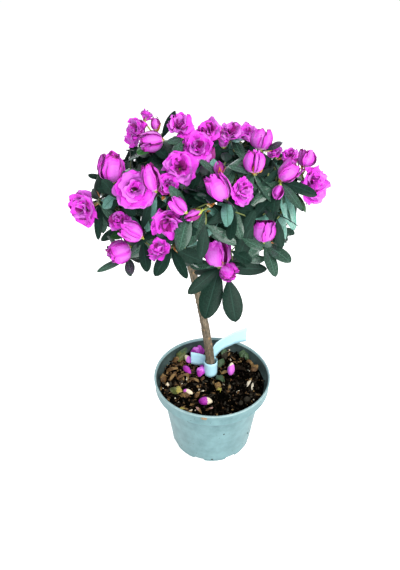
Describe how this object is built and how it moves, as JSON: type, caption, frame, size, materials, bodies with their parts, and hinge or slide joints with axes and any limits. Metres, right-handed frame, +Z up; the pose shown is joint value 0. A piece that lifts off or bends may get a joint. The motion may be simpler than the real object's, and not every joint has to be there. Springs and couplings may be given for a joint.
{
  "type": "potted flowering azalea shrub",
  "caption": "Azalea grown as a small standard: a bare leaning stem with a flattened round head of glossy leaves and double magenta blooms, in a round nursery pot.",
  "frame": {"origin": "middle of the pot's flat underside", "axes": "+Z up along the plant's height, -Y the viewed side, +X to the viewer's right"},
  "size_m": [0.2476, 0.245, 0.4127],
  "materials": {
    "pot": "satin moulded plastic, grey turquoise",
    "soil": "damp dark potting soil with bark chips",
    "bark": "rough grey-brown bark",
    "label": "smooth blank label strip, pale blue-white",
    "foliage": "glossy dark green leaves with magenta blooms"
  },
  "bodies": {
    "root": {"pot": "pot", "soil": "soil", "trunk": "bark", "stem_label": "label", "bough_front": "bark", "bough_front_right": "bark", "bough_back_right": "bark", "bough_back": "bark", "bough_back_left": "bark", "bough_front_left": "bark", "bough_top_front": "bark", "bough_top_right": "bark", "bough_top_back": "bark", "bough_top_left": "bark", "foliage_front": "foliage", "foliage_front_right": "foliage", "foliage_back_right": "foliage", "foliage_back": "foliage", "foliage_back_left": "foliage", "foliage_front_left": "foliage", "foliage_top_front": "foliage", "foliage_top_right": "foliage", "foliage_top_back": "foliage", "foliage_top_left": "foliage"}
  },
  "joints": []
}
